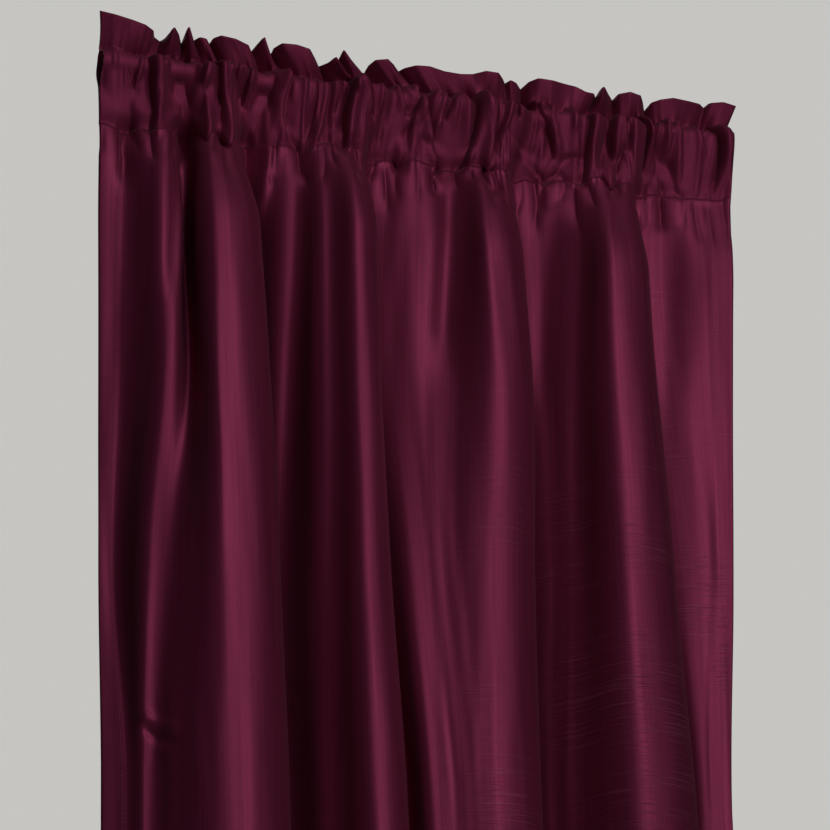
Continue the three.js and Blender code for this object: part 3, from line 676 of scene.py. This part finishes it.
def heading_grid():
    """The turned-over cloth: up the pocket's front, over the frill's top and down the back."""
    rows = [hang_lobes(pocket_row(LOWER_STITCH_Z + above, -1), above) for above in ROWS_ABOVE_SEAM]
    rows += [hang_lobes(pocket_row(z, -1), z - LOWER_STITCH_Z) for z in FRONT_ROWS]
    rows += [frill_row(share, -1) for share in FRILL_FRONT_ROWS]
    rows += [frill_row(share, 1) for share in FRILL_BACK_ROWS]
    rows += [pocket_row(z, 1) for z in BACK_ROWS]
    return np.array(rows)


def grid_normals(grid):
    across = np.gradient(grid, axis=1)
    along = np.gradient(grid, axis=0)
    normals = np.cross(across, along)
    return normals / np.maximum(np.linalg.norm(normals, axis=2, keepdims=True), TINY)


def cloth_lengths(grid):
    """Flat cloth coordinates of each point, in metres: along the weft, and down the warp."""
    weft = np.broadcast_to(EVEN_SHARES * CLOTH_WIDTH, grid.shape[:2])
    warp = np.linalg.norm(np.diff(grid, axis=0), axis=2).mean(1)
    warp = np.concatenate(([0.0], np.cumsum(warp)))
    return np.stack(np.broadcast_arrays(weft * MM, warp[:, None] * MM), -1)


def link(name, data):
    """A new object in the scene, with a mesh, a camera or a light as its data."""
    thing = bpy.data.objects.new(name, data)
    bpy.context.scene.collection.objects.link(thing)
    return thing


def link_mesh(name, points, faces):
    mesh = bpy.data.meshes.new(name)
    mesh.from_pydata((np.asarray(points) * MM).tolist(), [], np.asarray(faces).tolist())
    mesh.polygons.foreach_set("use_smooth", [True] * len(mesh.polygons))
    return link(name, mesh)


def sheet_faces(rows, columns):
    """Faces of a closed sheet: its front and back, each a grid of points, and its rim."""
    count = rows * columns
    index = np.arange(count).reshape(rows, columns)
    a, b, c, d = index[:-1, :-1], index[:-1, 1:], index[1:, 1:], index[1:, :-1]
    front = np.stack((a, b, c, d), -1).reshape(-1, 4)
    back = front[:, ::-1] + count
    top, left, foot, right = index[0, ::-1], index[1:, 0], index[-1, 1:], index[-2:0:-1, -1]
    rim = np.concatenate((top, left, foot, right, index[0, -1:]))
    near, far = rim[:-1], rim[1:]
    edge = np.stack((near, near + count, far + count, far), -1)[:, ::-1]
    return np.concatenate((front, back, edge))


def closed_sheet(name, grid, half, flat):
    """A closed mesh from a grid of rows and columns, half thick on either side of it."""
    rows, columns = grid.shape[:2]
    offset = grid_normals(grid) * half[..., None]
    points = np.concatenate(((grid - offset).reshape(-1, 3), (grid + offset).reshape(-1, 3)))
    piece = link_mesh(name, points, sheet_faces(rows, columns))
    mesh = piece.data
    layer = mesh.uv_layers.new(name="cloth")
    corner = np.empty(len(mesh.loops), dtype=np.int32)
    mesh.loops.foreach_get("vertex_index", corner)
    uv = flat.reshape(-1, 2)[corner % (rows * columns)]
    layer.data.foreach_set("uv", uv.astype(np.float32).ravel())
    mesh.update()
    mesh.validate()
    return piece


def drop_heights():
    """Heights of the hanging cloth's rows, from the lower stitch line down to the hem's edge."""
    heights = []
    top = DROP_TOP_Z
    for bottom, count in DROP_STRETCHES:
        heights += list(np.linspace(top, bottom, count, endpoint=False))
        top = bottom
    return np.array(heights + list(HEM_ROWS))


def make_drop():
    heights = drop_heights()
    grid = drop_grid(heights)
    flat = cloth_lengths(grid)
    flat[..., 1] = -flat[..., 1]
    side = np.minimum(flat[..., 0], CLOTH_WIDTH * MM - flat[..., 0]) / MM
    hemmed = (side < SIDE_HEM) | (grid[..., 2] < HEM_TOP_Z)
    half = np.where(hemmed, HEMMED_CLOTH, CLOTH) / 2
    return closed_sheet("drop", grid, half, flat), grid, heights


def make_heading():
    grid = heading_grid()
    flat = cloth_lengths(grid)
    half = np.full(grid.shape[:2], CLOTH / 2)
    return closed_sheet("gathered_heading", grid, half, flat), grid


# A stitch's length, the way from one to the next, its radius, and how deep the side hems' stitches
# are drawn into the cloth
STITCH_PITCH = 4.0
STITCH_LENGTH = 3.0
STITCH_RADIUS = 0.24
SIDE_STITCHES_SUNK = 0.1
# Rings of a stitch: how far along it, how thick, and how far off the cloth, both in radii
STITCH_RINGS = ((0, 0.35, 0), (0.16, 0.95, 1), (0.84, 0.95, 1), (1, 0.35, 0))
STITCH_SIDES = 6


def stitch_points(start, end, out):
    """Points of a stitch from start to end, which lies on a cloth that faces out."""
    forward = (end - start) / max(np.linalg.norm(end - start), TINY)
    out = out - forward * out.dot(forward)
    out /= max(np.linalg.norm(out), TINY)
    across = np.cross(forward, out)
    turns = 2 * math.pi * np.arange(STITCH_SIDES) / STITCH_SIDES
    points = []
    for share, thickness, lift in STITCH_RINGS:
        centre = start + (end - start) * share + out * (STITCH_RADIUS * lift)
        radius = STITCH_RADIUS * thickness
        points += [centre + radius * (math.cos(t) * out + math.sin(t) * across) for t in turns]
    return points


def stitch_faces(first):
    """Faces of a stitch, by the number of its first point: the faces along it, and two at each end."""
    starts = [first + k * STITCH_SIDES for k in range(len(STITCH_RINGS))]
    rings = [range(start, start + STITCH_SIDES) for start in starts]
    faces = []
    for low, high in zip(rings, rings[1:]):
        for i in range(STITCH_SIDES):
            j = (i + 1) % STITCH_SIDES
            faces.append((low[i], low[j], high[j], high[i]))
    for a, b, c, d, e, f in (rings[0][::-1], rings[-1]):
        faces += [(a, b, c, d), (a, d, e, f)]
    return faces


def stitches_along(line, normals):
    """Points and faces of the stitches along a line of points."""
    lengths = np.linalg.norm(np.diff(line, axis=0), axis=1)
    along = np.concatenate(([0.0], np.cumsum(lengths)))

    def at(place, values):
        return np.array([np.interp(place, along, values[:, k]) for k in range(3)])

    points, faces = [], []
    for place in np.arange(STITCH_PITCH / 2, along[-1] - STITCH_PITCH, STITCH_PITCH):
        start, end = at(place, line), at(place + STITCH_LENGTH, line)
        faces += stitch_faces(len(points))
        points += stitch_points(start, end, at(place + STITCH_LENGTH / 2, normals))
    return points, faces


def make_stitching(drop_rows, heights, heading_rows):
    """All the sewing thread: both stitch lines of the pocket, the bottom hem and the side hems."""
    upper = len(ROWS_ABOVE_SEAM) + len(FRONT_ROWS) - 1
    hem_row = int(np.argmin(np.abs(heights - HEM_STITCH_Z)))
    inset = round((SIDE_HEM - HEM_STITCH_INSET) / CLOTH_WIDTH * COLUMNS)
    drop_normals = -grid_normals(drop_rows)
    heading_normals = -grid_normals(heading_rows)
    side_hem_surface = HEMMED_CLOTH / 2 - SIDE_STITCHES_SUNK
    lines = (
        (heading_rows[upper], heading_normals[upper], CLOTH / 2),
        (heading_rows[1], heading_normals[1], CLOTH / 2),
        (drop_rows[hem_row], drop_normals[hem_row], HEMMED_CLOTH / 2),
        (drop_rows[:, inset], drop_normals[:, inset], side_hem_surface),
        (drop_rows[:, -1 - inset], drop_normals[:, -1 - inset], side_hem_surface),
    )
    points, faces = [], []
    for line, normals, surface in lines:
        seat = line + normals * (surface - STITCH_RADIUS / 2)
        more_points, more_faces = stitches_along(seat, normals)
        faces += [[k + len(points) for k in face] for face in more_faces]
        points += more_points
    return link_mesh("stitching", points, faces)


class Nodes:
    """Short calls for building a material's nodes."""

    def __init__(self, name):
        self.material = bpy.data.materials.new(name)
        self.material.use_nodes = True
        self.tree = self.material.node_tree
        self.shader = self.tree.nodes["Principled BSDF"]

    def fill(self, node, inputs):
        """Link the inputs that are given another node's output, and set the others."""
        for key, value in inputs.items():
            if hasattr(value, "is_output"):
                self.tree.links.new(value, node.inputs[key])
            else:
                node.inputs[key].default_value = value

    def add(self, kind, inputs=None, **settings):
        node = self.tree.nodes.new(kind)
        for key, value in settings.items():
            setattr(node, key, value)
        self.fill(node, inputs or {})
        return node

    def cloth_place(self):
        """Flat place on the cloth in metres, across and down."""
        return self.add("ShaderNodeUVMap", uv_map="cloth").outputs[0]

    def cloth_noise(self, scale_u, scale_v, detail, roughness=0.5):
        """Noise stretched along the cloth's threads, in features per metre."""
        scaled = {"Vector": self.cloth_place(), "Scale": (scale_u, scale_v, 1)}
        place = self.add("ShaderNodeMapping", scaled)
        noise = self.add(
            "ShaderNodeTexNoise",
            {"Vector": place.outputs[0], "Scale": 1.0, "Detail": detail, "Roughness": roughness},
            noise_dimensions="2D",
        )
        return noise.outputs[0]

    def spread(self, value, low, high, to_low=0.0, to_high=1.0):
        limits = {"From Min": low, "From Max": high, "To Min": to_low, "To Max": to_high}
        return self.add("ShaderNodeMapRange", {"Value": value, **limits}).outputs[0]

    def maths(self, operation, a, b):
        return self.add("ShaderNodeMath", {0: a, 1: b}, operation=operation).outputs[0]

    def times(self, a, b):
        return self.maths("MULTIPLY", a, b)

    def total(self, first, *others):
        for other in others:
            first = self.maths("ADD", first, other)
        return first

    def mixed(self, share, a, b):
        node = self.add("ShaderNodeMix", {0: share, 6: a, 7: b}, data_type="RGBA")
        return node.outputs[2]

    def bump(self, height, strength, distance):
        inputs = {"Strength": strength, "Distance": distance, "Height": height}
        return self.add("ShaderNodeBump", inputs).outputs[0]


# Colours of the silk: two tones of its warp, its slubs and the gaps beside them, and how much of
# their colour these two take
SILK = (0.255, 0.024, 0.079, 1)
SILK_DARK = (0.205, 0.0195, 0.065, 1)
SLUB_COLOUR = (0.38, 0.075, 0.16, 1)
GAP_COLOUR = (0.11, 0.012, 0.035, 1)
SLUB_TINT = 0.8
GAP_TINT = 0.45

# Noises of the silk: features per metre across and down, detail, and how rough the noise is
STREAKS = (420, 5, 3, 0.6)
GLOSS_PATCHES = (45, 1.5, 2)
SLUB_PATCHES = (5, 9, 2)
SLUBS = (11, 640, 2)
GAPS = (26, 720, 2)
WEAVE = (1500, 1500, 1)
WEFT = (30, 1300, 2)

# Most of a noise's values lie between the first two. The others give the value of its noise from
# which each starts to show, and from which it shows in full.
NOISE_SPAN = (0.3, 0.7)
SLUB_PATCHES_SHOW = (0.4, 0.6)
SLUBS_SHOW = (0.57, 0.72)
GAPS_SHOW = (0.64, 0.76)
# Where on the flat cloth, in metres, the slubs start and where they are there in full, across and
# down, and how much of them is there elsewhere
SLUBS_ACROSS = (0.6, 0.74, 0.1)
SLUBS_DOWN = (-0.2, -0.6, 0.15)

# How far each stands out of the silk in its bump, and the bump's strength and depth in metres
WEAVE_HEIGHT = 0.2
WEFT_HEIGHT = 0.9
STREAK_HEIGHT = 0.2
SLUB_HEIGHT = 2.0
SILK_BUMP = (0.45, 0.0003)

# Least and most roughness of the hanging silk, and of the heading, whose finest gathers dull it
SILK_ROUGHNESS = (0.44, 0.54)
GATHERED_ROUGHNESS = (0.56, 0.68)
SILK_GLOSS = {
    "Metallic": 0.6,
    "Specular IOR Level": 0.25,
    "Sheen Weight": 0.035,
    "Sheen Roughness": 0.5,
}


def slub_masks(nodes):
    """Where the slubs and the gaps beside them show: most towards the panel's lower right."""
    place = nodes.add("ShaderNodeSeparateXYZ", {"Vector": nodes.cloth_place()})
    across = nodes.spread(place.outputs[0], *SLUBS_ACROSS)
    down = nodes.spread(place.outputs[1], *SLUBS_DOWN)
    patches = nodes.spread(nodes.cloth_noise(*SLUB_PATCHES), *SLUB_PATCHES_SHOW)
    patches = nodes.times(patches, nodes.times(across, down))
    slubs = nodes.times(nodes.spread(nodes.cloth_noise(*SLUBS), *SLUBS_SHOW), patches)
    gaps = nodes.times(nodes.spread(nodes.cloth_noise(*GAPS), *GAPS_SHOW), patches)
    return slubs, gaps


def silk_colour(nodes, streaks, slubs, gaps):
    colour = nodes.mixed(nodes.spread(streaks, *NOISE_SPAN), SILK_DARK, SILK)
    colour = nodes.mixed(nodes.times(gaps, GAP_TINT), colour, GAP_COLOUR)
    return nodes.mixed(nodes.times(slubs, SLUB_TINT), colour, SLUB_COLOUR)


def silk_bump(nodes, streaks, slubs, gaps):
    height = nodes.total(
        nodes.times(nodes.cloth_noise(*WEAVE), WEAVE_HEIGHT),
        nodes.times(nodes.cloth_noise(*WEFT), WEFT_HEIGHT),
        nodes.times(streaks, STREAK_HEIGHT),
        nodes.times(slubs, SLUB_HEIGHT),
    )
    return nodes.bump(nodes.maths("SUBTRACT", height, gaps), *SILK_BUMP)


def silk_material(name, roughness):
    """Dupioni silk: a fine weave, and thick uneven weft threads that run across the panel."""
    nodes = Nodes(name)
    streaks = nodes.cloth_noise(*STREAKS)
    slubs, gaps = slub_masks(nodes)
    nodes.fill(nodes.shader, {
        "Base Color": silk_colour(nodes, streaks, slubs, gaps),
        "Roughness": nodes.spread(nodes.cloth_noise(*GLOSS_PATCHES), *NOISE_SPAN, *roughness),
        "Normal": silk_bump(nodes, streaks, slubs, gaps),
        **SILK_GLOSS,
    })
    return nodes.material


# Colours, twists per metre, bump and roughness of the sewing thread
THREAD_DARK = (0.3, 0.04, 0.1, 1)
THREAD_LIGHT = (0.46, 0.09, 0.19, 1)
THREAD_TWISTS = 900.0
THREAD_BUMP = (0.3, 0.0002)
THREAD_ROUGHNESS = 0.6


def thread_material():
    nodes = Nodes("thread")
    twist = nodes.add("ShaderNodeTexNoise", {"Scale": THREAD_TWISTS, "Detail": 2.0}).outputs[0]
    nodes.fill(nodes.shader, {
        "Base Color": nodes.mixed(twist, THREAD_DARK, THREAD_LIGHT),
        "Normal": nodes.bump(twist, *THREAD_BUMP),
        "Roughness": THREAD_ROUGHNESS,
    })
    return nodes.material


# The camera looks up at the heading from the lower left, as the photograph does
CAMERA_TARGET = Vector((-0.018, 0.0, -0.336))
CAMERA_AZIMUTH = -20
CAMERA_ELEVATION = -23
CAMERA_ROLL = math.radians(-1.73)
CAMERA_DISTANCE = 4.0
CAMERA_LENS = 180.5
CAMERA_SENSOR = 36

# Lights, all aimed at the camera's target: name, azimuth and elevation in degrees, distance, width
# and height in metres, and watts
LIGHTS = (
    ("key", 10, 15, 2.6, 1.35, 2.5, 22),
    ("top", 6, 64, 2.4, 1.4, 0.8, 2),
    ("wall glow", 180, 5, 1.8, 4, 4, 32),
)

# The background as the camera sees it, and the much dimmer light that it gives
BACKGROUND = (0.565, 0.558, 0.539, 1)
AMBIENT = (0.009, 0.0125, 0.012, 1)

# Half the floor's side in metres, how far under the hem it lies in millimetres, its colour, and how
# brightly it is seen on top of the light that falls on it
FLOOR_REACH = 4.0
FLOOR_UNDER_HEM = 12.0
FLOOR_COLOUR = (0.6, 0.59, 0.57, 1)
FLOOR_ROUGHNESS = 0.8
FLOOR_GLOW = 0.6


def way_back(azimuth, elevation):
    """Direction from the target to a camera or light, by degrees round from the front and up."""
    turn, rise = math.radians(azimuth), math.radians(elevation)
    return Vector((math.sin(turn) * math.cos(rise), -math.cos(turn) * math.cos(rise), math.sin(rise)))


def make_camera():
    back = way_back(CAMERA_AZIMUTH, CAMERA_ELEVATION)
    level = Vector((0, 0, 1)).cross(back).normalized()
    upright = back.cross(level)
    right = level * math.cos(CAMERA_ROLL) + upright * math.sin(CAMERA_ROLL)
    up = back.cross(right)
    data = bpy.data.cameras.new("camera")
    data.sensor_width = CAMERA_SENSOR
    data.lens = CAMERA_LENS
    camera = link("camera", data)
    turn = Matrix((right, up, back)).transposed().to_4x4()
    camera.matrix_world = Matrix.Translation(CAMERA_TARGET + back * CAMERA_DISTANCE) @ turn
    bpy.context.scene.camera = camera


def area_light(name, azimuth, elevation, distance, width, height, watts):
    """A soft light that points at the middle of what the camera sees."""
    data = bpy.data.lights.new(name, "AREA")
    data.shape = "RECTANGLE"
    data.size = width
    data.size_y = height
    data.energy = watts
    light = link(name, data)
    back = way_back(azimuth, elevation)
    light.location = CAMERA_TARGET + back * distance
    light.rotation_mode = "QUATERNION"
    light.rotation_quaternion = back.to_track_quat("Z", "Y")
    light.visible_camera = False


def make_world():
    world = bpy.data.worlds.new("studio")
    bpy.context.scene.world = world
    world.use_nodes = True
    nodes, links = world.node_tree.nodes, world.node_tree.links
    path = nodes.new("ShaderNodeLightPath")
    mix = nodes.new("ShaderNodeMix")
    mix.data_type = "RGBA"
    mix.inputs[6].default_value = AMBIENT
    mix.inputs[7].default_value = BACKGROUND
    links.new(path.outputs["Is Camera Ray"], mix.inputs[0])
    links.new(mix.outputs[2], nodes["Background"].inputs["Color"])


def floor_material():
    """A matt floor that is seen pale, and lights the silk only as much as it is lit itself."""
    nodes = Nodes("floor")
    seen = nodes.add("ShaderNodeLightPath").outputs["Is Camera Ray"]
    nodes.fill(nodes.shader, {
        "Base Color": FLOOR_COLOUR,
        "Emission Color": FLOOR_COLOUR,
        "Emission Strength": nodes.times(seen, FLOOR_GLOW),
        "Roughness": FLOOR_ROUGHNESS,
    })
    return nodes.material


def make_floor():
    mesh = bpy.data.meshes.new("floor")
    z = (HEM_Z - FLOOR_UNDER_HEM) * MM
    corners = [(x * FLOOR_REACH, y * FLOOR_REACH, z) for x, y in ((-1, -1), (1, -1), (1, 1), (-1, 1))]
    mesh.from_pydata(corners, [], [(0, 1, 2, 3)])
    mesh.materials.append(floor_material())
    link("floor", mesh)


bpy.context.scene.view_settings.view_transform = "Standard"
make_camera()
for light in LIGHTS:
    area_light(*light)
make_world()
make_floor()

drop, drop_rows, heights = make_drop()
heading, heading_rows = make_heading()
stitching = make_stitching(drop_rows, heights, heading_rows)
dressed = (
    (drop, silk_material("silk", SILK_ROUGHNESS)),
    (heading, silk_material("gathered silk", GATHERED_ROUGHNESS)),
    (stitching, thread_material()),
)
for piece, material in dressed:
    piece.data.materials.append(material)
    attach(piece, "root")
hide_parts("panel")
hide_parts("heading")
